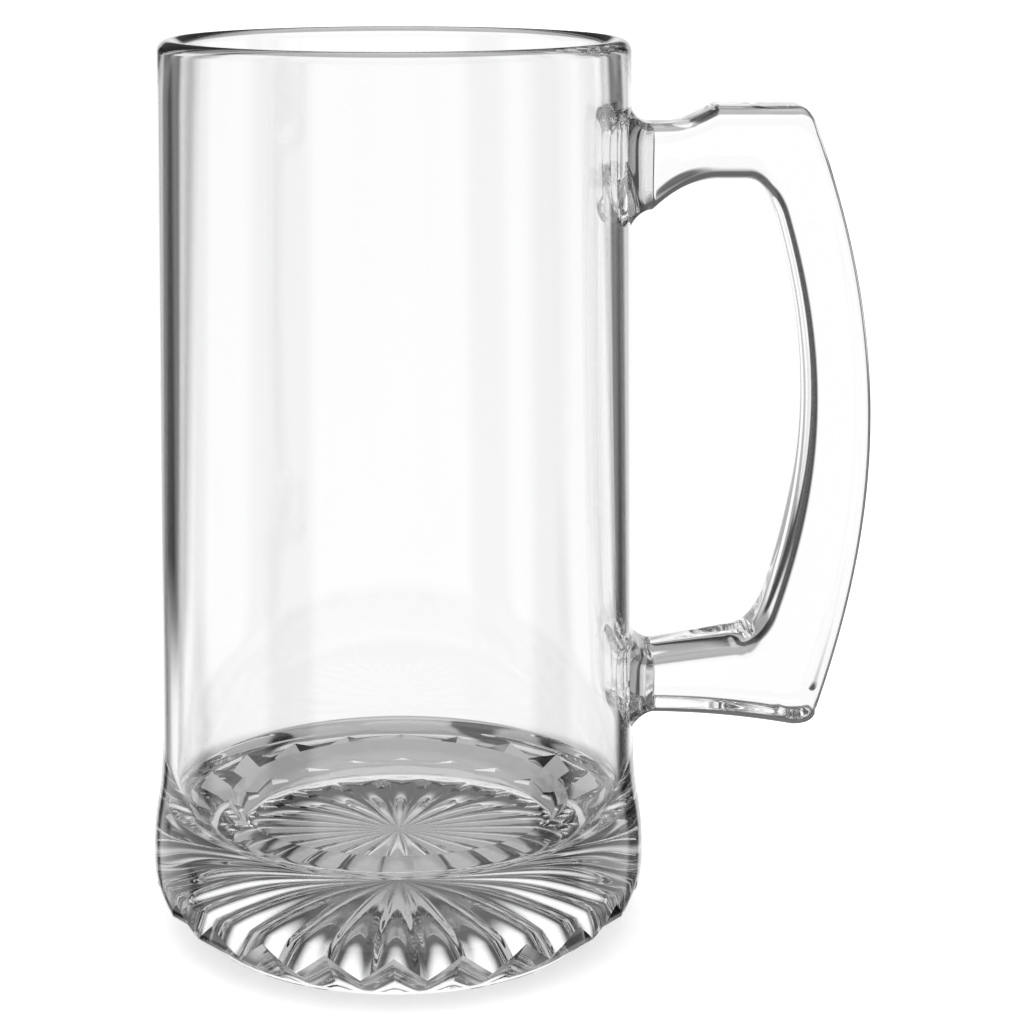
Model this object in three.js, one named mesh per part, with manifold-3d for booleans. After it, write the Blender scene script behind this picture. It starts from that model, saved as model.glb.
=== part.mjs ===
// Glass beer mug: a pressed tankard body on a heavy starburst foot, and a handle set on its wall.
// Millimetres, +Z up. The mug stands on Z = 0 and its handle points along +X.
import * as THREE from 'three';
import { mergeVertices } from 'three/addons/utils/BufferGeometryUtils.js';
import Module from 'manifold-3d';

const wasm = await Module();
wasm.setup();

// Body: barrel, rim and inside
const HEIGHT = 175;
const RIM_RADIUS = 44.2;
const RIM_WALL = 4.5;
const BARREL_RADIUS = 47.1;
const BARREL_START_Z = 37;
const FOOT_RADIUS = 49.3;
const FOOT_Z = 13.4;
const FLOOR_Z = 20.5;
const FLOOR_RADIUS = 29;
const WELL_DEPTH = 4.5;
const SHELF_RADIUS = 34.2;
const SHELF_RISE = 0.4;
const COVE_WIDTH = 4;
const COVE_HEIGHT = 1.6;
const BASE_WALL = 2.9;
const WELL_LEAD = 0.2;
const WELL_FALL = 0.6;

// Starburst foot: petals round the heel and rays under the base
const PETAL_COUNT = 24;
const BEARING_RADIUS = 40.5;
const BEARING_WIDTH = 1.5;
const BAND_HEIGHT = 0.9;
const BAND_OUTSET = 0.6;
const PETAL_TIP_Z = 11.4;
const PETAL_VALLEY_Z = 6.2;
const STAR_EDGE_Z = 0.6;
const STAR_CENTRE_Z = 10.5;
const CROWN_POWER = 3;
const RAY_DEPTH = 1.5;
const RAY_FADE = 6;

// Handle: heights, reaches from the wall, thicknesses, rounds and how its curves are drawn
const UPPER_ARM_TOP_Z = 159.5;
const UPPER_ARM_ROOT_DEPTH = 16.2;
const UPPER_ARM_RISE = 6;
const THUMB_REST_RISE = 3.3;
const THUMB_REST_START = 15.6;
const THUMB_REST_LENGTH = 15;
const THUMB_ROUND = 3.5;
const GRIP_REACH = 46.6;
const GRIP_DEPTH = 12.5;
const GRIP_HOLLOW = 6.2;
const CROOK = 7.2;
const LOWER_ARM_BOTTOM_Z = 44.2;
const LOWER_ARM_DEPTH = 12.3;
const LOWER_ARM_RISE = 2.6;
const HEEL_REACH = 36;
const HEEL_DROP = 2.4;
const HEEL_ROUND = 3;
const HEEL_LENGTH = 4.5;
const ARM_WIDTH = 16.5;
const GRIP_WIDTH = 19;
const SEAL_FLARE = 2.8;
const SEAL_LENGTH = 3.6;
const SEAL_GAP = 0.3;
const SECTION_POWER = 3.4;
const BOW_SHARE = 0.35;
const ROUND_SHARE = 1 / 3;

// Facets
const COLUMNS_PER_PETAL = 4;
const COLUMNS = PETAL_COUNT * COLUMNS_PER_PETAL;
const STAR_STEPS = 6;
const PETAL_STEPS = 2;
const SHOULDER_STEPS = 2;
const WAIST_STEPS = 6;
const BARREL_STEPS = 4;
const RIM_STEPS = 6;
const INNER_WALL_STEPS = 3;
const COVE_STEPS = 4;
const WELL_STEPS = 5;
const FLOOR_STEPS = 2;
const HANDLE_STEPS = [1, 3, 4, 3, 4, 12, 4, 4, 3, 1];
const SECTION_SIDES = 20;
const WELD_DISTANCE = 1e-4;

// Glass
const GLASS_COLOUR = 0xeef1f0;
const GLASS_ROUGHNESS = 0.04;

const point = (x, z) => new THREE.Vector2(x, z);
const mix = THREE.MathUtils.lerp;

// Even shares of a stretch, without its start, which the stretch before it holds.
const sharesOf = (steps) => Array.from({ length: steps }, (_, step) => (step + 1) / steps);

// The barrel is a plain cone, so its outer radius runs straight from the waist to the rim.
function barrelRadius(z) {
  return mix(BARREL_RADIUS, RIM_RADIUS, (z - BARREL_START_Z) / (HEIGHT - BARREL_START_Z));
}

// Quarter ellipse of the heel, from the bearing band up to the widest line of the foot.
function heelRadius(z) {
  const bandRadius = BEARING_RADIUS + BAND_OUTSET;
  const share = (FOOT_Z - z) / (FOOT_Z - BAND_HEIGHT);
  return bandRadius + (FOOT_RADIUS - bandRadius) * Math.sqrt(Math.max(0, 1 - share * share));
}

// Underside: a crown in the middle that falls to the star's edge, pressed into rays that fade there.
function starRows(petal) {
  const edge = BEARING_RADIUS - BEARING_WIDTH;
  const flute = petal * (2 - petal);
  return [0, ...sharesOf(STAR_STEPS)].map((share) => {
    const crown = mix(STAR_CENTRE_Z, STAR_EDGE_Z, share ** CROWN_POWER);
    const ray = RAY_DEPTH * share * (1 - share ** RAY_FADE);
    return point(edge * share, crown + ray * flute);
  });
}

// Bearing ring, plain band, flat petals with a zigzag top, and the round shoulder above them.
function heelRows(petal) {
  const bearing = [point(BEARING_RADIUS - BEARING_WIDTH, 0), point(BEARING_RADIUS, 0)];
  const band = point(BEARING_RADIUS + BAND_OUTSET, BAND_HEIGHT);
  const crestZ = mix(PETAL_VALLEY_Z, PETAL_TIP_Z, petal);
  const crest = point(heelRadius(crestZ), crestZ);
  const petals = sharesOf(PETAL_STEPS).map((share) => band.clone().lerp(crest, share));
  const shoulder = sharesOf(SHOULDER_STEPS).map((share) => {
    const z = mix(crestZ, FOOT_Z, share);
    return point(heelRadius(z), z);
  });
  return [...bearing, band, ...petals, ...shoulder];
}

// Waist from the foot into the cone of the barrel, then the outer wall up to the rim.
function wallRows() {
  const rise = (BARREL_START_Z - FOOT_Z) / 2;
  const waist = new THREE.CubicBezierCurve(
    point(FOOT_RADIUS, FOOT_Z),
    point(FOOT_RADIUS, FOOT_Z + rise),
    point(barrelRadius(BARREL_START_Z - rise), BARREL_START_Z - rise),
    point(BARREL_RADIUS, BARREL_START_Z),
  );
  const barrel = sharesOf(BARREL_STEPS).map((share) => {
    const z = mix(BARREL_START_Z, HEIGHT - RIM_WALL / 2, share);
    return point(barrelRadius(z), z);
  });
  return [...waist.getPoints(WAIST_STEPS).slice(1), ...barrel];
}

// Rounded rim, inner wall, the cove at its foot, the shelf, and the well that leads to the flat floor.
function insideRows() {
  const roundZ = HEIGHT - RIM_WALL / 2;
  const roundX = barrelRadius(roundZ) - RIM_WALL / 2;
  const rim = new THREE.EllipseCurve(roundX, roundZ, RIM_WALL / 2, RIM_WALL / 2, 0, Math.PI);
  const shelfZ = FLOOR_Z + WELL_DEPTH;
  const coveTop = shelfZ + SHELF_RISE + COVE_HEIGHT;
  const innerRim = point(roundX - RIM_WALL / 2, roundZ);
  const innerFoot = point(barrelRadius(coveTop) - BASE_WALL, coveTop);
  const wall = sharesOf(INNER_WALL_STEPS).map((share) => innerRim.clone().lerp(innerFoot, share));
  const coveX = innerFoot.x - COVE_WIDTH;
  const cove = new THREE.EllipseCurve(coveX, coveTop, COVE_WIDTH, COVE_HEIGHT, 0, -Math.PI / 2, true);
  const well = new THREE.CubicBezierCurve(
    point(SHELF_RADIUS, shelfZ),
    point(mix(SHELF_RADIUS, FLOOR_RADIUS, WELL_LEAD), mix(shelfZ, FLOOR_Z, WELL_FALL)),
    point(mix(SHELF_RADIUS, FLOOR_RADIUS, 2 * WELL_LEAD), FLOOR_Z),
    point(FLOOR_RADIUS, FLOOR_Z),
  );
  const floor = sharesOf(FLOOR_STEPS).map((share) => point(FLOOR_RADIUS * (1 - share), FLOOR_Z));
  const bottom = [...cove.getPoints(COVE_STEPS).slice(1), ...well.getPoints(WELL_STEPS), ...floor];
  return [...rim.getPoints(RIM_STEPS).slice(1), ...wall, ...bottom];
}

// Whole profile of one column. A petal value of 1 is its middle line and 0 the line between two petals.
function bodyProfile(petal) {
  return [...starRows(petal), ...heelRows(petal), ...wallRows(), ...insideRows()];
}

// Triangle wave over the columns: 1 in the middle of each petal and 0 between petals.
function petalAt(column) {
  return Math.abs(1 - (2 * (column % COLUMNS_PER_PETAL)) / COLUMNS_PER_PETAL);
}

// A lathe whose columns take their own profile, so that the foot is pleated and the rest is round.
function pressedBody() {
  const lathe = new THREE.LatheGeometry(bodyProfile(0), COLUMNS);
  const place = lathe.attributes.position;
  for (let column = 0; column <= COLUMNS; column += 1) {
    const turn = (2 * Math.PI * column) / COLUMNS;
    const profile = bodyProfile(petalAt(column));
    profile.forEach((p, row) => {
      place.setXYZ(column * profile.length + row, p.x * Math.sin(turn), p.y, p.x * Math.cos(turn));
    });
  }
  return lathe.rotateX(Math.PI / 2);
}

// The handle's outside and inside edges, as ten stretches that pair up from seal to seal.
function handleEdges() {
  const line = (a, b) => new THREE.LineCurve(a, b);
  const bend = (a, c, b) => new THREE.QuadraticBezierCurve(a, c, b);
  const bow = (a, c, d, b) => new THREE.CubicBezierCurve(a, c, d, b);

  const upperUnderZ = UPPER_ARM_TOP_Z - UPPER_ARM_ROOT_DEPTH;
  const crownZ = upperUnderZ + UPPER_ARM_RISE;
  const thumbZ = UPPER_ARM_TOP_Z + THUMB_REST_RISE;
  const lowerTopZ = LOWER_ARM_BOTTOM_Z + LOWER_ARM_DEPTH;
  const lowerEndZ = lowerTopZ + LOWER_ARM_RISE;
  const heelZ = LOWER_ARM_BOTTOM_Z - HEEL_DROP;

  const upperX = barrelRadius(UPPER_ARM_TOP_Z - UPPER_ARM_ROOT_DEPTH / 2);
  const lowerX = barrelRadius(LOWER_ARM_BOTTOM_Z + LOWER_ARM_DEPTH / 2);
  const thumbX = upperX + THUMB_REST_START;
  const thumbEndX = thumbX + THUMB_REST_LENGTH;
  const gripX = upperX + GRIP_REACH;
  const heelX = lowerX + HEEL_REACH;
  const holdX = gripX - GRIP_DEPTH;
  const crookX = holdX - GRIP_HOLLOW;

  // A stretch that starts inside the wall and one that flares down from it to the arm
  const root = (x, z) => line(point(x - RIM_WALL, z), point(x, z));
  const flare = (x, z, out) => bend(
    point(x, z + out * SEAL_FLARE),
    point(x + SEAL_LENGTH * ROUND_SHARE, z),
    point(x + SEAL_LENGTH, z),
  );
  const reversed = (curve) => (
    curve.isLineCurve ? line(curve.v2, curve.v1) : bend(curve.v2, curve.v1, curve.v0)
  );

  // A long bow that passes through a given reach half way along
  const bowThrough = (a, b, reach) => {
    const pull = (8 * reach - a.x - b.x) / 6;
    const lead = (a.y - b.y) * BOW_SHARE;
    return bow(a, point(pull, a.y - lead), point(pull, b.y + lead), b);
  };

  const upperArm = point(upperX + SEAL_LENGTH, UPPER_ARM_TOP_Z);
  const thumb = point(thumbX, thumbZ);
  const thumbEnd = point(thumbEndX, thumbZ);
  const bowTop = point(thumbEndX + THUMB_ROUND, thumbZ - THUMB_ROUND);
  const bowEnd = point(heelX, heelZ + HEEL_ROUND);
  const heelEnd = point(heelX - HEEL_LENGTH, heelZ);
  const lowerArm = point(lowerX + SEAL_LENGTH, LOWER_ARM_BOTTOM_Z);
  const armMiddle = (upperArm.x + thumb.x) / 2;
  const outside = [
    root(upperX, UPPER_ARM_TOP_Z + SEAL_FLARE),
    flare(upperX, UPPER_ARM_TOP_Z, 1),
    bow(upperArm, point(armMiddle, upperArm.y), point(armMiddle, upperArm.y), thumb),
    line(thumb, thumbEnd),
    bend(thumbEnd, point(bowTop.x - THUMB_ROUND * ROUND_SHARE, thumbZ), bowTop),
    bowThrough(bowTop, bowEnd, gripX),
    bend(bowEnd, point(heelX, heelZ), heelEnd),
    bend(heelEnd, point((heelEnd.x + lowerArm.x) / 2, LOWER_ARM_BOTTOM_Z), lowerArm),
    reversed(flare(lowerX, LOWER_ARM_BOTTOM_Z, -1)),
    reversed(root(lowerX, LOWER_ARM_BOTTOM_Z - SEAL_FLARE)),
  ];

  const upperUnder = point(upperX + SEAL_LENGTH, upperUnderZ);
  const crown = point(thumbX, crownZ);
  const crook = point(crookX - CROOK, crownZ);
  const holdTop = point(crookX, crownZ - CROOK);
  const holdEnd = point(crookX, lowerEndZ + CROOK);
  const lowerCrook = point(crookX - CROOK, lowerEndZ);
  const lowerTop = point(lowerX + SEAL_LENGTH, lowerTopZ);
  const inside = [
    root(upperX, upperUnderZ - SEAL_FLARE),
    flare(upperX, upperUnderZ, -1),
    bend(upperUnder, point((upperUnder.x + crown.x) / 2, crownZ), crown),
    line(crown, crook),
    bend(crook, point(crookX - CROOK * ROUND_SHARE, crownZ), holdTop),
    bowThrough(holdTop, holdEnd, holdX),
    bend(holdEnd, point(crookX - CROOK * ROUND_SHARE, lowerEndZ), lowerCrook),
    line(lowerCrook, lowerTop),
    reversed(flare(lowerX, lowerTopZ, 1)),
    reversed(root(lowerX, lowerTopZ + SEAL_FLARE)),
  ];
  return { outside, inside };
}

// Rounded sections strung between the two edges, wider at the seals and along the grip.
function handleSections() {
  const { outside, inside } = handleEdges();
  const sealWidth = ARM_WIDTH + 2 * SEAL_FLARE;
  const seal = [sealWidth, sealWidth, ARM_WIDTH];
  const grip = [ARM_WIDTH, GRIP_WIDTH, GRIP_WIDTH, GRIP_WIDTH, GRIP_WIDTH];
  const widths = [...seal, ...grip, ...seal.toReversed()];
  const sections = [];
  outside.forEach((curve, stretch) => {
    const shares = sharesOf(HANDLE_STEPS[stretch]);
    const start = stretch === 0 ? [0] : [];
    [...start, ...shares].forEach((share) => {
      sections.push({
        outer: curve.getPoint(share),
        inner: inside[stretch].getPoint(share),
        width: mix(widths[stretch], widths[stretch + 1], share),
      });
    });
  });
  return sections;
}

// One ring of points on a superellipse between an outer and an inner edge point.
function sectionRing({ outer, inner, width }) {
  const middle = outer.clone().add(inner).multiplyScalar(0.5);
  const half = outer.clone().sub(inner).multiplyScalar(0.5);
  const swell = (value) => Math.sign(value) * Math.abs(value) ** (2 / SECTION_POWER);
  return Array.from({ length: SECTION_SIDES }, (_, side) => {
    const turn = (2 * Math.PI * side) / SECTION_SIDES;
    const across = swell(Math.cos(turn));
    const y = (swell(Math.sin(turn)) * width) / 2;
    return new THREE.Vector3(middle.x + half.x * across, y, middle.y + half.y * across);
  });
}

// Skin over the rings, with a fan at each end.
function loft(rings) {
  const sides = SECTION_SIDES;
  const triangles = [];
  for (let ring = 0; ring + 1 < rings.length; ring += 1) {
    for (let side = 0; side < sides; side += 1) {
      const a = ring * sides + side;
      const b = ring * sides + ((side + 1) % sides);
      triangles.push(a, a + sides, b, b, a + sides, b + sides);
    }
  }
  const last = (rings.length - 1) * sides;
  for (let side = 1; side + 1 < sides; side += 1) {
    triangles.push(0, side, side + 1, last, last + side + 1, last + side);
  }
  const geometry = new THREE.BufferGeometry().setFromPoints(rings.flat());
  geometry.setIndex(triangles);
  return geometry;
}

function toSolid(geometry) {
  const bare = geometry.clone();
  bare.deleteAttribute('normal');
  bare.deleteAttribute('uv');
  const merged = mergeVertices(bare, WELD_DISTANCE);
  return new wasm.Manifold(new wasm.Mesh({
    numProp: 3,
    vertProperties: new Float32Array(merged.attributes.position.array),
    triVerts: new Uint32Array(merged.index.array),
  }));
}

function toGeometry(solid) {
  const { vertProperties, triVerts } = solid.getMesh();
  const geometry = new THREE.BufferGeometry();
  geometry.setAttribute('position', new THREE.BufferAttribute(vertProperties, 3));
  geometry.setIndex(new THREE.BufferAttribute(triVerts, 1));
  return geometry;
}

// The handle is lofted into the wall and trimmed back to it, so that its feet follow the barrel.
function appliedHandle() {
  const low = barrelRadius(0) + SEAL_GAP;
  const high = barrelRadius(HEIGHT) + SEAL_GAP;
  const barrel = new THREE.CylinderGeometry(high, low, HEIGHT, COLUMNS);
  barrel.rotateX(Math.PI / 2).translate(0, 0, HEIGHT / 2);
  const handle = toSolid(loft(handleSections().map(sectionRing)));
  return toGeometry(handle.subtract(toSolid(barrel)));
}

function glassPiece(name, geometry) {
  const look = { color: GLASS_COLOUR, roughness: GLASS_ROUGHNESS, metalness: 0 };
  geometry.computeVertexNormals();
  const mesh = new THREE.Mesh(geometry, new THREE.MeshStandardMaterial(look));
  mesh.name = name;
  return mesh;
}

const mug = new THREE.Group();
mug.add(glassPiece('mug_body', pressedBody()), glassPiece('handle', appliedHandle()));

// The origin lies under the middle of the whole mug, handle included.
const box = new THREE.Box3().setFromObject(mug);
mug.position.x = -(box.min.x + box.max.x) / 2;

export default mug;
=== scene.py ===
"""Looks of a clear glass beer mug: a pressed tankard body on a starburst foot, and its applied handle."""
import logging
import math
from dataclasses import dataclass
from enum import Enum

import bpy
import numpy as np
from numpy.typing import NDArray
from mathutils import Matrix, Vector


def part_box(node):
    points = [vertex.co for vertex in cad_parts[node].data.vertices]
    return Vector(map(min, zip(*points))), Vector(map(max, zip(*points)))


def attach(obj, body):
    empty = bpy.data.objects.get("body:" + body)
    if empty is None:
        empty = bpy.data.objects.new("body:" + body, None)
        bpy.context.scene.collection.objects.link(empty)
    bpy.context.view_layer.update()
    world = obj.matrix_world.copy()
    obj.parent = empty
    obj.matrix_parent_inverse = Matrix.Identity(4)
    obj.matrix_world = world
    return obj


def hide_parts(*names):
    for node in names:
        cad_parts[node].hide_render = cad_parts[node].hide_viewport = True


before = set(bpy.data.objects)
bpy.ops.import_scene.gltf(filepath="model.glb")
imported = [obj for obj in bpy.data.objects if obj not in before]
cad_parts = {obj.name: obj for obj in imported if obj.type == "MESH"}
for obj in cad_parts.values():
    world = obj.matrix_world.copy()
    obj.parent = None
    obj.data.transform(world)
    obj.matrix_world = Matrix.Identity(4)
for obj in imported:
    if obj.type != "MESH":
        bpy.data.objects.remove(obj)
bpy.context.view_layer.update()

MM = 0.001
GRAIN = "mould_grain"
HANDLE_DENSITY = 3.0
LOG = logging.getLogger("mug")
Grid = NDArray[np.float64]
Point = tuple[float, float]
Curve = list[Point]
Span = tuple[float, float]
Panels = tuple[Span, ...]
Socket = bpy.types.NodeSocket


class Seal(Enum):
    """Which end of the handle meets the wall, as the step by which its sections are read from that end."""

    UPPER = 1
    LOWER = -1


def mix(low: Grid | float, high: Grid | float, share: Grid | float) -> Grid | float:
    """Straight blend from low to high."""
    return low + (high - low) * share


def shares(count: int) -> Grid:
    """Even shares of a stretch as a column, without its start, which the stretch before it holds."""
    return np.linspace(0.0, 1.0, count + 1)[1:, None]


def bezier(controls: Curve, share: Grid) -> Grid:
    """Points on a Bezier curve: the Bernstein sum of its control points.

    Args:
        controls: Control points from start to end.
        share: Column of shares along the curve.

    Returns:
        One row of two coordinates for each share.
    """
    degree = len(controls) - 1
    powers = np.arange(degree + 1)
    counts = np.array([math.comb(degree, power) for power in powers])
    return (counts * share**powers * (1.0 - share) ** (degree - powers)) @ np.array(controls)


def stretch(radius: Grid | float, height: Grid | float, petal: Grid) -> Grid:
    """Rows of (radius, height) pairs, spread over the columns that petal holds."""
    radius, height, _ = np.broadcast_arrays(radius, height, petal[None, :])
    return np.stack([radius, height], axis=-1)


def closed_skin(name: str, points: Grid, crease: float, grain: Grid) -> bpy.types.Object:
    """Closed surface over a grid whose columns wrap round and whose first and last rows are single points.

    Args:
        name: Name of the piece.
        points: Rows by columns by three coordinates, in millimetres.
        crease: Angle in degrees past which an edge stays sharp.
        grain: Share of mould grain left on each row.

    Returns:
        The new object at the origin, with its place in its mesh.
    """
    rows, columns = points.shape[0] - 2, points.shape[1]
    skin = points[1:-1].reshape(-1, 3)
    poles = points[[0, -1], 0]
    here = np.arange(columns)
    after = (here + 1) % columns
    first = np.arange(rows - 1)[:, None] * columns
    quads = np.stack([first + here, first + after, first + columns + after, first + columns + here], axis=-1)
    start, end = rows * columns, rows * columns + 1
    top = (rows - 1) * columns
    fans = np.concatenate([
        np.stack([np.full(columns, start), after, here], axis=-1),
        np.stack([np.full(columns, end), top + here, top + after], axis=-1),
    ])
    mesh = bpy.data.meshes.new(name)
    mesh.from_pydata(
        np.concatenate([skin, poles]) * MM, [], quads.reshape(-1, 4).tolist() + fans.tolist()
    )
    mesh.polygons.foreach_set("use_smooth", np.ones(len(mesh.polygons), dtype=bool))
    mesh.set_sharp_from_angle(angle=math.radians(crease))
    layer = mesh.attributes.new(GRAIN, "FLOAT", "POINT")
    layer.data.foreach_set("value", np.concatenate([np.repeat(grain[1:-1], columns), grain[[0, -1]]]))
    piece = bpy.data.objects.new(name, mesh)
    bpy.context.scene.collection.objects.link(piece)
    return piece


@dataclass(frozen=True)
class ClearGlass:
    """Fire-polished pressed glass: clear, with a faint waviness drawn out along the wall.

    Attributes:
        name: Name of the material.
        ior: Refractive index of soda-lime glass.
        roughness: Polish of the surface.
        grain_roughness: Polish where the mould grain is full.
        density: Absorption to the metre, which greys the thick foot.
        wave_scale: Waves to the metre across the wall.
        wave_detail: Octaves of finer waves on the waves.
        wave_draw: How much longer the waves are along the wall than across it.
        wave_height: Height of the waves in metres.
        thin: Tint of the clearest streaks.
        deep: Tint of the deepest streaks.
    """

    name: str
    ior: float = 1.52
    roughness: float = 0.0
    grain_roughness: float = 0.5
    density: float = 8.0
    wave_scale: float = 60.0
    wave_detail: float = 1.0
    wave_draw: float = 6.0
    wave_height: float = 0.00002
    thin: tuple[float, float, float] = (1.0, 1.0, 1.0)
    deep: tuple[float, float, float] = (0.985, 0.99, 0.988)

    def material(self) -> bpy.types.Material:
        """Node material with polish by mould grain, absorption by depth, tint in streaks and waves as bump."""
        material = bpy.data.materials.new(self.name)
        material.use_nodes = True
        tree = material.node_tree
        shader = tree.nodes["Principled BSDF"]
        shader.inputs["Transmission Weight"].default_value = 1.0
        shader.inputs["IOR"].default_value = self.ior

        grain = tree.nodes.new("ShaderNodeAttribute")
        grain.attribute_name = GRAIN
        polish = tree.nodes.new("ShaderNodeMapRange")
        polish.inputs["To Min"].default_value = self.roughness
        polish.inputs["To Max"].default_value = self.grain_roughness
        tree.links.new(grain.outputs["Fac"], polish.inputs["Value"])
        tree.links.new(polish.outputs["Result"], shader.inputs["Roughness"])

        depth = tree.nodes.new("ShaderNodeVolumeAbsorption")
        depth.inputs["Color"].default_value = (0.0, 0.0, 0.0, 1.0)
        depth.inputs["Density"].default_value = self.density
        tree.links.new(depth.outputs["Volume"], tree.nodes["Material Output"].inputs["Volume"])

        place = tree.nodes.new("ShaderNodeTexCoord")
        drawn = tree.nodes.new("ShaderNodeMapping")
        drawn.inputs["Scale"].default_value = (1.0, 1.0, 1.0 / self.wave_draw)
        waves = tree.nodes.new("ShaderNodeTexNoise")
        waves.inputs["Scale"].default_value = self.wave_scale
        waves.inputs["Detail"].default_value = self.wave_detail
        tree.links.new(place.outputs["Object"], drawn.inputs["Vector"])
        tree.links.new(drawn.outputs["Vector"], waves.inputs["Vector"])

        bump = tree.nodes.new("ShaderNodeBump")
        bump.inputs["Distance"].default_value = self.wave_height
        tree.links.new(waves.outputs["Fac"], bump.inputs["Height"])
        tree.links.new(bump.outputs["Normal"], shader.inputs["Normal"])

        streaks = tree.nodes.new("ShaderNodeMix")
        streaks.data_type = "RGBA"
        streaks.inputs["A"].default_value = (*self.thin, 1.0)
        streaks.inputs["B"].default_value = (*self.deep, 1.0)
        tree.links.new(waves.outputs["Fac"], streaks.inputs["Factor"])
        tree.links.new(streaks.outputs["Result"], shader.inputs["Base Color"])
        return material


@dataclass
class MugBody:
    """Pressed tankard with its rim, well and starburst foot.

    All sizes are in millimetres, and each count of rows says how finely one stretch of the profile is cut.
    """

    axis_x: float
    height: float
    foot_radius: float
    rim_radius: float = 44.2
    rim_wall: float = 4.5
    barrel_radius: float = 47.1
    barrel_start_z: float = 37.0
    foot_z: float = 13.4
    low_wall: float = 2.9
    cove_width: float = 4.0
    cove_height: float = 1.6
    shelf_rise: float = 0.4
    shelf_radius: float = 34.2
    well_depth: float = 4.5
    well_lead: float = 0.2
    well_fall: float = 0.6
    floor_z: float = 20.5
    floor_radius: float = 29.0
    petal_count: int = 24
    columns_per_petal: int = 16
    bearing_radius: float = 40.5
    bearing_width: float = 1.5
    band_height: float = 0.9
    band_outset: float = 0.6
    petal_tip_z: float = 11.4
    petal_valley_z: float = 6.2
    star_centre_z: float = 10.5
    star_edge_z: float = 0.6
    crown_power: float = 3.0
    ray_depth: float = 1.5
    ray_fade: float = 6.0
    rib_share: float = 0.06
    grain_reach: float = 0.45
    crease: float = 12.0
    star_rows: int = 44
    edge_rows: int = 2
    ring_rows: int = 3
    band_rows: int = 5
    petal_rows: int = 14
    shoulder_rows: int = 12
    waist_rows: int = 24
    barrel_rows: int = 16
    rim_rows: int = 24
    inner_rows: int = 16
    cove_rows: int = 16
    shelf_rows: int = 8
    well_rows: int = 20
    floor_rows: int = 10

    @classmethod
    def from_frame(cls) -> "MugBody":
        """Body that fills the box of its CAD node."""
        low, high = (np.array(corner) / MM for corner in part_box("mug_body"))
        return cls(
            axis_x=float(low[0] + high[0]) / 2.0,
            height=float(high[2]),
            foot_radius=float(high[1] - low[1]) / 2.0,
        )

    @property
    def star_radius(self) -> float:
        """Edge of the star, where the bearing ring begins."""
        return self.bearing_radius - self.bearing_width

    @property
    def star_shares(self) -> Grid:
        """Shares of the star's radius at which its rows lie."""
        return np.linspace(0.0, 1.0, self.star_rows)

    def barrel_at(self, z: Grid | float) -> Grid | float:
        """Outer radius of the barrel, a plain cone from the waist to the rim."""
        share = (z - self.barrel_start_z) / (self.height - self.barrel_start_z)
        return mix(self.barrel_radius, self.rim_radius, share)

    def heel_at(self, z: Grid) -> Grid:
        """Outer radius of the heel, a quarter ellipse from the bearing band to the widest line."""
        low = self.bearing_radius + self.band_outset
        share = (self.foot_z - z) / (self.foot_z - self.band_height)
        return low + (self.foot_radius - low) * np.sqrt(np.clip(1.0 - share**2, 0.0, None))

    def star(self, petal: Grid) -> Grid:
        """Underside: a crown that falls as a power of the radius, pressed into rays.

        Each ray is a parabola across its sector, and the rays rise from the centre and fade at the edge.

        Args:
            petal: Petal wave over the columns, 1 in the middle of a petal and 0 between two.

        Returns:
            Rows of (radius, height) over the columns.
        """
        share = self.star_shares[:, None]
        across = np.clip((petal - self.rib_share) / (1.0 - self.rib_share), 0.0, 1.0)
        flute = across * (2.0 - across)
        crown = mix(self.star_centre_z, self.star_edge_z, share**self.crown_power)
        rise = self.ray_depth * share * (1.0 - share**self.ray_fade)
        return stretch(self.star_radius * share, crown + rise * flute, petal)

    def grain(self, rows: int) -> Grid:
        """Mould grain on each row: full at the middle of the star and gone at grain_reach of its radius."""
        grain = np.zeros(rows)
        grain[: self.star_rows] = np.clip(1.0 - self.star_shares / self.grain_reach, 0.0, 1.0)
        return grain

    def bearing(self, petal: Grid) -> Grid:
        """Step down from the star, the flat bearing ring, and the rounded band outside it."""
        turn = shares(self.band_rows) * math.pi / 2.0
        return np.concatenate([
            stretch(self.star_radius, self.star_edge_z * (1.0 - shares(self.edge_rows)), petal),
            stretch(mix(self.star_radius, self.bearing_radius, shares(self.ring_rows)), 0.0, petal),
            stretch(
                self.bearing_radius + self.band_outset * np.sin(turn),
                self.band_height * (1.0 - np.cos(turn)),
                petal,
            ),
        ])

    def petals(self, petal: Grid) -> Grid:
        """Petals ruled straight from the band to a zigzag crest, and the heel's round above the crest."""
        crest_z = mix(self.petal_valley_z, self.petal_tip_z, petal)
        up = shares(self.petal_rows)
        band = self.bearing_radius + self.band_outset
        shoulder_z = mix(crest_z, self.foot_z, shares(self.shoulder_rows))
        return np.concatenate([
            stretch(mix(band, self.heel_at(crest_z), up), mix(self.band_height, crest_z, up), petal),
            stretch(self.heel_at(shoulder_z), shoulder_z, petal),
        ])

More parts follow.
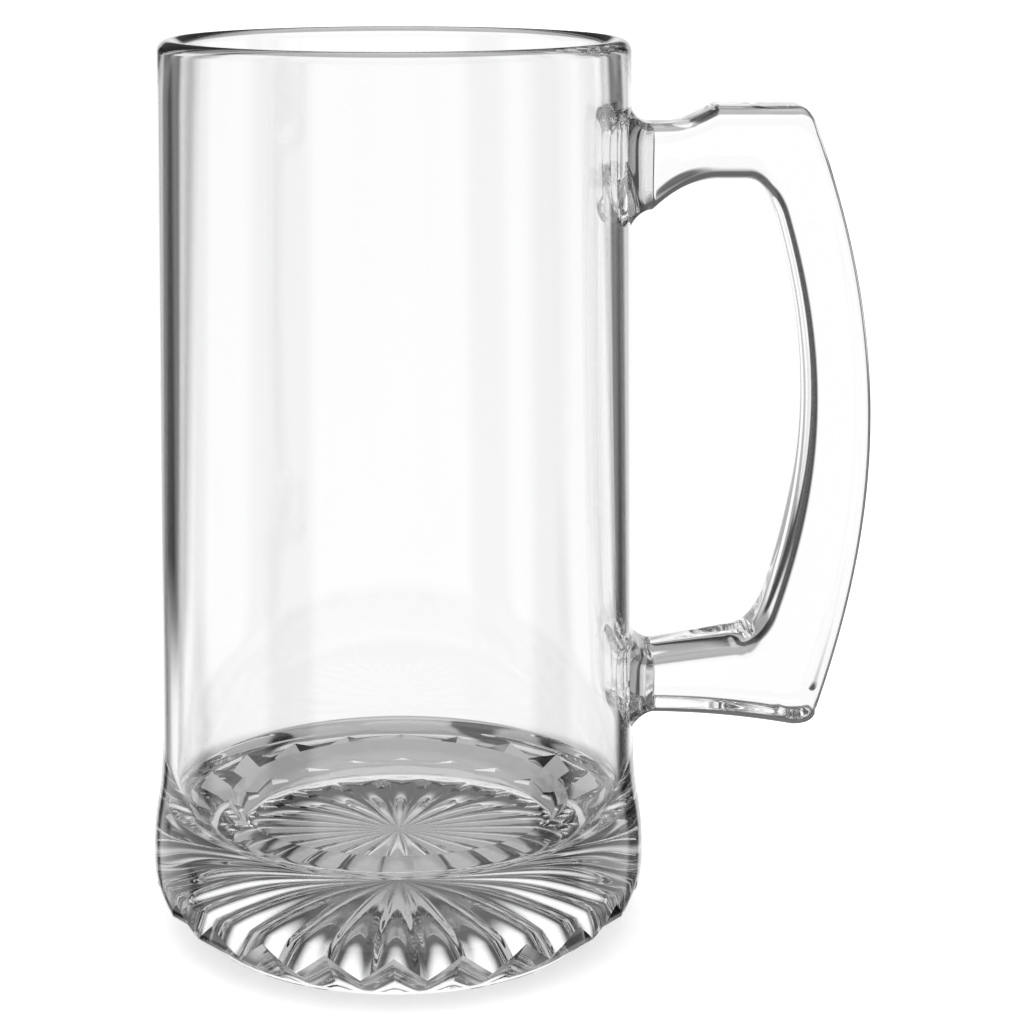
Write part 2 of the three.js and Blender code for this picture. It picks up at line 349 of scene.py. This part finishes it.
    def wall(self, petal: Grid) -> Grid:
        """Waist from the foot into the barrel as a cubic curve, the cone of the barrel, and the round rim."""
        rise = (self.barrel_start_z - self.foot_z) / 2.0
        waist = bezier(
            [
                (self.foot_radius, self.foot_z),
                (self.foot_radius, self.foot_z + rise),
                (self.barrel_at(self.barrel_start_z - rise), self.barrel_start_z - rise),
                (self.barrel_radius, self.barrel_start_z),
            ],
            shares(self.waist_rows),
        )
        half = self.rim_wall / 2.0
        round_z = self.height - half
        barrel_z = mix(self.barrel_start_z, round_z, shares(self.barrel_rows))
        turn = shares(self.rim_rows) * math.pi
        return np.concatenate([
            stretch(waist[:, :1], waist[:, 1:], petal),
            stretch(self.barrel_at(barrel_z), barrel_z, petal),
            stretch(
                self.barrel_at(round_z) - half + half * np.cos(turn),
                round_z + half * np.sin(turn),
                petal,
            ),
        ])

    def inside(self, petal: Grid) -> Grid:
        """Inner wall, the quarter-ellipse cove at its foot, the shelf, the well's cubic wall and the floor."""
        down = shares(self.inner_rows)
        rim_z = self.height - self.rim_wall / 2.0
        shelf_z = self.floor_z + self.well_depth
        cove_z = shelf_z + self.shelf_rise
        cove_top_z = cove_z + self.cove_height
        rim_inner = self.barrel_at(rim_z) - self.rim_wall
        low_inner = self.barrel_at(cove_top_z) - self.low_wall
        cove_x = low_inner - self.cove_width
        turn = shares(self.cove_rows) * math.pi / 2.0
        along = shares(self.shelf_rows)
        well = bezier(
            [
                (self.shelf_radius, shelf_z),
                (
                    mix(self.shelf_radius, self.floor_radius, self.well_lead),
                    mix(shelf_z, self.floor_z, self.well_fall),
                ),
                (mix(self.shelf_radius, self.floor_radius, 2.0 * self.well_lead), self.floor_z),
                (self.floor_radius, self.floor_z),
            ],
            shares(self.well_rows),
        )
        return np.concatenate([
            stretch(mix(rim_inner, low_inner, down), mix(rim_z, cove_top_z, down), petal),
            stretch(
                cove_x + self.cove_width * np.cos(turn), cove_top_z - self.cove_height * np.sin(turn), petal
            ),
            stretch(mix(cove_x, self.shelf_radius, along), mix(cove_z, shelf_z, along), petal),
            stretch(well[:, :1], well[:, 1:], petal),
            stretch(self.floor_radius * (1.0 - shares(self.floor_rows)), self.floor_z, petal),
        ])

    def surface(self) -> Grid:
        """Whole body as a profile turned round the axis, with a petal's middle facing the front."""
        columns = self.petal_count * self.columns_per_petal
        column = np.arange(columns)
        petal = np.abs(1.0 - 2.0 * (column % self.columns_per_petal) / self.columns_per_petal)
        parts = (self.star, self.bearing, self.petals, self.wall, self.inside)
        profile = np.concatenate([part(petal) for part in parts])
        azimuth = 2.0 * math.pi * column / columns - math.pi / 2.0
        radius, z = profile[..., 0], profile[..., 1]
        return np.stack([self.axis_x + radius * np.cos(azimuth), radius * np.sin(azimuth), z], axis=-1)

    def build(self, glass: ClearGlass) -> bpy.types.Object:
        """Makes the mesh, dresses it, and sets it in the place of its CAD node."""
        surface = self.surface()
        piece = closed_skin("pressed_body", surface, self.crease, self.grain(len(surface)))
        piece.data.materials.append(glass.material())
        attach(piece, "root")
        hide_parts("mug_body")
        return piece


@dataclass
class Handle:
    """Applied handle with its thumb rest, bowed grip, heel and two flared seals.

    All sizes are in millimetres. Distances along x run from the mug's axis, and stretch_rows says how finely
    each stretch between the seals is cut.
    """

    body: MugBody
    reach: float
    upper_arm_top_z: float = 159.5
    upper_arm_root_depth: float = 16.2
    upper_arm_rise: float = 6.0
    thumb_rest_rise: float = 3.3
    thumb_rest_start: float = 15.6
    thumb_rest_length: float = 15.0
    thumb_round: float = 3.5
    grip_depth: float = 12.5
    grip_hollow: float = 6.2
    crook: float = 7.2
    lower_arm_bottom_z: float = 44.2
    lower_arm_depth: float = 12.3
    lower_arm_rise: float = 2.6
    heel_reach: float = 36.0
    heel_drop: float = 2.4
    heel_round: float = 3.0
    heel_length: float = 4.5
    arm_width: float = 16.5
    grip_width: float = 19.0
    seal_flare: float = 2.8
    seal_length: float = 3.6
    fuse_depth: float = 0.08
    bow_share: float = 0.35
    round_share: float = 1.0 / 3.0
    stretch_rows: tuple[int, ...] = (16, 24, 16, 20, 72, 20, 24, 16)
    foot_rows: int = 16
    section_sides: int = 96
    section_power: float = 5.0
    bow_swell: float = 0.1
    crease: float = 40.0

    @classmethod
    def from_frame(cls, body: MugBody) -> "Handle":
        """Handle whose bow stays within the reach of its CAD node."""
        return cls(body=body, reach=float(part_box("handle")[1][0]) / MM - body.axis_x - cls.bow_swell)

    @property
    def upper_x(self) -> float:
        """Reach of the wall at the root of the upper arm."""
        return self.body.barrel_at(self.upper_arm_top_z - self.upper_arm_root_depth / 2.0)

    @property
    def lower_x(self) -> float:
        """Reach of the wall at the root of the lower arm."""
        return self.body.barrel_at(self.lower_arm_bottom_z + self.lower_arm_depth / 2.0)

    @property
    def thumb_x(self) -> float:
        """Reach at which the thumb rest starts."""
        return self.upper_x + self.thumb_rest_start

    def flare(self, x: float, z: float, out: float) -> Curve:
        """Curve from the wall down to the arm, by which the seal spreads on the glass.

        Args:
            x: Reach of the wall.
            z: Height of the arm's edge.
            out: 1 where the seal spreads upwards, -1 where it spreads downwards.

        Returns:
            Three control points from the wall to the arm.
        """
        lead = x + self.seal_length * self.round_share
        return [(x, z + out * self.seal_flare), (lead, z), (x + self.seal_length, z)]

    def bow(self, start: Point, end: Point, through: float) -> Curve:
        """Long bow whose middle passes through a given reach.

        The middle of a cubic curve lies at (p0 + 3 p1 + 3 p2 + p3) / 8, which gives the reach that the two
        inner control points share.

        Args:
            start: Upper end of the bow.
            end: Lower end of the bow.
            through: Reach of its middle.

        Returns:
            Four control points from start to end.
        """
        pull = (8.0 * through - start[0] - end[0]) / 6.0
        lead = (start[1] - end[1]) * self.bow_share
        return [start, (pull, start[1] - lead), (pull, end[1] + lead), end]

    def outside_edge(self) -> list[Curve]:
        """Control points of the outside edge, as eight stretches from seal to seal."""
        thumb_z = self.upper_arm_top_z + self.thumb_rest_rise
        thumb_end_x = self.thumb_x + self.thumb_rest_length
        heel_x = self.lower_x + self.heel_reach
        heel_z = self.lower_arm_bottom_z - self.heel_drop
        arm = (self.upper_x + self.seal_length, self.upper_arm_top_z)
        arm_middle = ((arm[0] + self.thumb_x) / 2.0, arm[1])
        thumb = (self.thumb_x, thumb_z)
        thumb_end = (thumb_end_x, thumb_z)
        bow_top = (thumb_end_x + self.thumb_round, thumb_z - self.thumb_round)
        bow_end = (heel_x, heel_z + self.heel_round)
        heel_end = (heel_x - self.heel_length, heel_z)
        lower_arm = (self.lower_x + self.seal_length, self.lower_arm_bottom_z)
        return [
            self.flare(self.upper_x, self.upper_arm_top_z, 1.0),
            [arm, arm_middle, arm_middle, thumb],
            [thumb, thumb_end],
            [thumb_end, (bow_top[0] - self.thumb_round * self.round_share, thumb_z), bow_top],
            self.bow(bow_top, bow_end, self.reach),
            [bow_end, (heel_x, heel_z), heel_end],
            [heel_end, ((heel_end[0] + lower_arm[0]) / 2.0, self.lower_arm_bottom_z), lower_arm],
            self.flare(self.lower_x, self.lower_arm_bottom_z, -1.0)[::-1],
        ]

    def inside_edge(self) -> list[Curve]:
        """Control points of the inside edge, as eight stretches that pair up with the outside ones."""
        under_z = self.upper_arm_top_z - self.upper_arm_root_depth
        crown_z = under_z + self.upper_arm_rise
        lower_top_z = self.lower_arm_bottom_z + self.lower_arm_depth
        lower_end_z = lower_top_z + self.lower_arm_rise
        hold_x = self.reach - self.grip_depth
        crook_x = hold_x - self.grip_hollow
        round_x = crook_x - self.crook * self.round_share
        under = (self.upper_x + self.seal_length, under_z)
        crown = (self.thumb_x, crown_z)
        crook = (crook_x - self.crook, crown_z)
        hold_top = (crook_x, crown_z - self.crook)
        hold_end = (crook_x, lower_end_z + self.crook)
        lower_crook = (crook_x - self.crook, lower_end_z)
        lower_top = (self.lower_x + self.seal_length, lower_top_z)
        return [
            self.flare(self.upper_x, under_z, -1.0),
            [under, ((under[0] + crown[0]) / 2.0, crown_z), crown],
            [crown, crook],
            [crook, (round_x, crown_z), hold_top],
            self.bow(hold_top, hold_end, hold_x),
            [hold_end, (round_x, lower_end_z), lower_crook],
            [lower_crook, lower_top],
            self.flare(self.lower_x, lower_top_z, 1.0)[::-1],
        ]

    def rings(self) -> Grid:
        """Superellipse sections strung between the two edges, wider at the seals and along the grip.

        A section of power n has the points sgn(c) |c|^(2/n) across and sgn(s) |s|^(2/n) to the side, with c
        and s the cosine and sine of a turn that runs backwards, so that the faces look outward.

        Returns:
            Sections by sides by three coordinates.
        """
        runs = [shares(count) for count in self.stretch_rows]
        runs[0] = np.concatenate([np.zeros((1, 1)), runs[0]])
        outer, inner = (
            np.concatenate([bezier(curve, run) for curve, run in zip(edge, runs)])
            for edge in (self.outside_edge(), self.inside_edge())
        )
        seal_width = self.arm_width + 2.0 * self.seal_flare
        grip_widths = [self.grip_width] * (len(runs) - 3)
        widths = (seal_width, self.arm_width, *grip_widths, self.arm_width, seal_width)
        width = np.concatenate([mix(a, b, run) for a, b, run in zip(widths, widths[1:], runs)])

        turn = -2.0 * math.pi * np.arange(self.section_sides) / self.section_sides
        power = 2.0 / self.section_power
        across, side = (np.sign(wave) * np.abs(wave) ** power for wave in (np.cos(turn), np.sin(turn)))
        middle, half = (outer + inner) / 2.0, (outer - inner) / 2.0
        plane = middle[:, None, :] + half[:, None, :] * across[None, :, None]
        points = np.stack([plane[..., 0], width * side / 2.0, plane[..., 1]], axis=-1)
        return self.seated(points)

    def wall_x(self, y: Grid, z: Grid) -> Grid:
        """Distance from the axis at which the handle's foot lies, just inside the skin of the barrel."""
        return np.sqrt((self.body.barrel_at(z) - self.fuse_depth) ** 2 - y**2)

    def seated(self, points: Grid) -> Grid:
        """Bends each flared foot on to the barrel, with a shift that dies out along the flare."""
        for seal, rows in ((Seal.UPPER, self.stretch_rows[0]), (Seal.LOWER, self.stretch_rows[-1])):
            foot = points[:: seal.value]
            shift = self.wall_x(foot[0, :, 1], foot[0, :, 2]) - foot[0, :, 0]
            fade = (1.0 - np.linspace(0.0, 1.0, rows + 1)[:, None]) ** 2
            foot[: rows + 1, :, 0] += fade * shift
        return points

    def foot(self, ring: Grid) -> Grid:
        """Inside of a seal: the ring shrunk to its middle in steps, each laid on the barrel."""
        middle = ring.mean(axis=0)
        grow = np.linspace(0.0, 1.0, self.foot_rows + 1)[:-1, None, None]
        disc = middle + (ring - middle) * grow
        disc[..., 0] = self.wall_x(disc[..., 1], disc[..., 2])
        return disc

    def surface(self) -> Grid:
        """Whole handle: the upper foot, the sections, and the lower foot."""
        rings = self.rings()
        skin = np.concatenate([self.foot(rings[0]), rings, self.foot(rings[-1])[::-1]])
        skin[..., 0] += self.body.axis_x
        return skin

    def build(self, glass: ClearGlass) -> bpy.types.Object:
        """Makes the mesh, dresses it, and sets it in the place of its CAD node."""
        surface = self.surface()
        piece = closed_skin("applied_handle", surface, self.crease, np.zeros(len(surface)))
        piece.data.materials.append(glass.material())
        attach(piece, "root")
        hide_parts("handle")
        return piece


@dataclass
class PhotoCamera:
    """Camera at the photograph's viewing angle, placed from the mug's axis.

    Places are in metres, the pitch is in degrees, and near_share is where the view starts as a share of the
    camera's distance.
    """

    axis_x: float
    beside: float = 0.010
    away: float = 0.4555
    above: float = 0.20055
    pitch: float = 14.4
    focal_px: float = 2397.0
    centre_px: float = 448.0
    image_px: float = 1024.0
    sensor_mm: float = 36.0
    near_share: float = 0.02

    def build(self) -> bpy.types.Object:
        """Makes the camera and hands it to the scene."""
        lens = bpy.data.cameras.new("photo_camera")
        lens.sensor_width = self.sensor_mm
        lens.lens = self.sensor_mm * self.focal_px / self.image_px
        lens.shift_x = 0.5 - self.centre_px / self.image_px
        lens.clip_start = self.away * self.near_share
        camera = bpy.data.objects.new("photo_camera", lens)
        camera.location = (self.axis_x + self.beside, -self.away, self.above)
        camera.rotation_euler = (math.radians(90.0 - self.pitch), 0.0, 0.0)
        bpy.context.scene.collection.objects.link(camera)
        bpy.context.scene.camera = camera
        return camera


@dataclass(frozen=True)
class Wiring:
    """Short ways to add nodes to a node tree and to join them."""

    tree: bpy.types.NodeTree

    def feed(self, socket: Socket, value: Socket | float) -> None:
        """Joins a socket to another one, or sets it to a number."""
        if isinstance(value, Socket):
            self.tree.links.new(value, socket)
        else:
            socket.default_value = value

    def number(self, operation: str, *values: Socket | float) -> Socket:
        """Math node over sockets and numbers."""
        node = self.tree.nodes.new("ShaderNodeMath")
        node.operation = operation
        for socket, value in zip(node.inputs, values):
            self.feed(socket, value)
        return node.outputs["Value"]

    def step(self, value: Socket, span: Span, start: float, end: float) -> Socket:
        """Soft step from start to end.

        Args:
            value: What is measured.
            span: Where the step begins and where it is done.
            start: Result before the span.
            end: Result past the span.

        Returns:
            The socket that holds the result.
        """
        node = self.tree.nodes.new("ShaderNodeMapRange")
        node.interpolation_type = "SMOOTHSTEP"
        given = {"Value": value, "From Min": span[0], "From Max": span[1], "To Min": start, "To Max": end}
        for name, entry in given.items():
            self.feed(node.inputs[name], entry)
        return node.outputs["Result"]

    def blend(self, share: Socket, first: Socket, second: Socket | float) -> Socket:
        """Blend of two levels by a share."""
        node = self.tree.nodes.new("ShaderNodeMix")
        for name, entry in (("Factor", share), ("A", first), ("B", second)):
            self.feed(node.inputs[name], entry)
        return node.outputs["Result"]


@dataclass
class Studio:
    """White tabletop studio: a pale floor, and a room of panels, hood, ceiling and tabletop round the glass.

    Bearings are in degrees left of the back. Each span is a range of the upward part of a direction, which is
    1 straight up and -1 straight down.

    Attributes:
        floor_size: Side of the floor in metres.
        floor_drop: How far the floor lies under the bearing ring, so that the two never share a plane.
        floor_white: Colour level of the floor.
        floor_roughness: Roughness of the floor.
        floor_glow: Light that the floor gives of its own, which keeps the mug's shadow soft.
        upper_panels: White panels round the table, each from one bearing to another.
        lower_panels: The row of panels under them.
        row_span: Where the lower row of panels gives way to the upper one.
        panel_level: Level of the panels.
        panel_edge: Width of a panel's soft edge in degrees.
        gap_level: Level of the gaps between the panels.
        hood_span: Where the panels give way to the dark hood above them.
        hood_level: Level of the hood.
        ceiling_span: Where the hood gives way to the bright ceiling.
        ceiling_level: Level of the ceiling.
        table_span: Where the tabletop, painted grey as the mug's shadow on it, gives way to the panels.
        shadowed_table_level: Level of the tabletop, a painted shadow of the mug on the white table.
        near_span: Where the near tabletop, seen most steeply, gives way to the rest of it.
        shadowed_near_level: Level of the near tabletop, a painted shadow of the mug right under it.
        glass_bounces: How many times light is followed through glass.
        mirror_bounces: How many times light is followed in reflections.
    """

    floor_size: float = 60.0
    floor_drop: float = 0.0002
    floor_white: float = 0.8
    floor_roughness: float = 0.9
    floor_glow: float = 0.6
    upper_panels: Panels = ((-25.0, 21.0), (48.0, 116.0), (140.0, 250.0), (272.0, 315.0))
    lower_panels: Panels = ((-25.0, 24.0), (33.0, 69.0), (79.0, 116.0), (140.0, 250.0), (272.0, 315.0))
    row_span: Span = (-0.29, -0.25)
    panel_level: float = 1.06
    panel_edge: float = 5.0
    gap_level: float = 0.06
    hood_span: Span = (0.1, 0.2)
    hood_level: float = 0.12
    ceiling_span: Span = (0.52, 0.9)
    ceiling_level: float = 1.7
    table_span: Span = (-0.52, -0.45)
    shadowed_table_level: float = 0.42
    near_span: Span = (-0.78, -0.64)
    shadowed_near_level: float = 0.56
    glass_bounces: int = 32
    mirror_bounces: int = 24

    def build(self) -> None:
        """Makes the floor and the surroundings, and sets how far light is followed in glass."""
        scene = bpy.context.scene
        scene.view_settings.view_transform = "Standard"
        scene.cycles.max_bounces = self.glass_bounces
        scene.cycles.transmission_bounces = self.glass_bounces
        scene.cycles.glossy_bounces = self.mirror_bounces
        self.floor()
        self.surroundings()

    def floor(self) -> bpy.types.Object:
        """Pale floor that takes the mug's shadow and stays out of what the glass bends."""
        half = self.floor_size / 2.0
        corners = np.array([[-half, -half], [half, -half], [half, half], [-half, half]])
        heights = np.full(len(corners), -self.floor_drop)
        mesh = bpy.data.meshes.new("studio_floor")
        mesh.from_pydata(np.column_stack([corners, heights]), [], [(0, 1, 2, 3)])
        material = bpy.data.materials.new("studio_floor")
        material.use_nodes = True
        shader = material.node_tree.nodes["Principled BSDF"]
        shader.inputs["Base Color"].default_value = (self.floor_white, self.floor_white, self.floor_white, 1.0)
        shader.inputs["Roughness"].default_value = self.floor_roughness
        shader.inputs["Specular IOR Level"].default_value = 0.0
        shader.inputs["Emission Color"].default_value = (1.0, 1.0, 1.0, 1.0)
        shader.inputs["Emission Strength"].default_value = self.floor_glow
        mesh.materials.append(material)
        floor = bpy.data.objects.new("studio_floor", mesh)
        floor.visible_transmission = False
        floor.visible_glossy = False
        bpy.context.scene.collection.objects.link(floor)
        return floor

    def hang(self, ramp: bpy.types.ColorRamp, panels: Panels) -> None:
        """Hangs a row of panels on a ramp that runs once round the table, with soft edges."""
        half = self.panel_edge / 2.0
        stops = sorted(
            ((angle + side * half) % 360.0 / 360.0, level)
            for first, last in panels
            for angle, side, level in (
                (first, -1.0, self.gap_level),
                (first, 1.0, self.panel_level),
                (last, -1.0, self.panel_level),
                (last, 1.0, self.gap_level),
            )
        )
        ramp.elements[0].position, ramp.elements[1].position = stops[0][0], stops[-1][0]
        for place, _ in stops[1:-1]:
            ramp.elements.new(place)
        for element, (_, level) in zip(ramp.elements, stops):
            element.color = (level, level, level, 1.0)

    def surroundings(self) -> None:
        """World by direction: two rows of panels, hood and ceiling above, painted-shadow tabletop below, white
        for the camera.

        The bearing is the angle of (-x, y), as a share of a full turn, and the height is z.
        """
        world = bpy.data.worlds.new("studio")
        world.use_nodes = True
        bpy.context.scene.world = world
        tree = world.node_tree
        wiring = Wiring(tree)
        light = tree.nodes["Background"]
        light.inputs["Color"].default_value = (1.0, 1.0, 1.0, 1.0)

        way = tree.nodes.new("ShaderNodeSeparateXYZ")
        tree.links.new(tree.nodes.new("ShaderNodeTexCoord").outputs["Generated"], way.inputs["Vector"])
        x, y, z = way.outputs
        bearing = wiring.number("ARCTAN2", wiring.number("MULTIPLY", x, -1.0), y)
        turn = wiring.number("FRACT", wiring.number("DIVIDE", bearing, 2.0 * math.pi))
        rows = []
        for panels in (self.lower_panels, self.upper_panels):
            ramp = tree.nodes.new("ShaderNodeValToRGB")
            self.hang(ramp.color_ramp, panels)
            tree.links.new(turn, ramp.inputs["Fac"])
            rows.append(ramp.outputs["Color"])

        ring = wiring.blend(wiring.step(z, self.row_span, 0.0, 1.0), *rows)
        above = wiring.step(z, self.ceiling_span, self.hood_level, self.ceiling_level)
        room = wiring.blend(wiring.step(z, self.hood_span, 0.0, 1.0), ring, above)
        # Grey tabletop seen only through the glass: painted shadow of the mug on the white table, in two steps
        # downward.
        far_table_shade = wiring.step(z, self.table_span, self.shadowed_table_level, 1.0)
        near_table_shade = wiring.step(z, self.near_span, self.shadowed_near_level, 0.0)
        seen = wiring.number("MULTIPLY", room, wiring.number("MAXIMUM", far_table_shade, near_table_shade))
        path = tree.nodes.new("ShaderNodeLightPath")
        tree.links.new(wiring.blend(path.outputs["Is Camera Ray"], seen, 1.0), light.inputs["Strength"])


def main() -> None:
    """Builds the camera, the studio and the two pieces of glass in order."""
    logging.basicConfig(level=logging.INFO, format="%(name)s: %(message)s")
    body = MugBody.from_frame()
    handle = Handle.from_frame(body)
    PhotoCamera(axis_x=body.axis_x * MM).build()
    Studio().build()
    body_glass = ClearGlass("body_glass")
    handle_glass = ClearGlass("handle_glass", density=HANDLE_DENSITY)
    for piece in (body.build(body_glass), handle.build(handle_glass)):
        LOG.info("%s has %d faces", piece.name, len(piece.data.polygons))


if __name__ == "__main__":
    main()
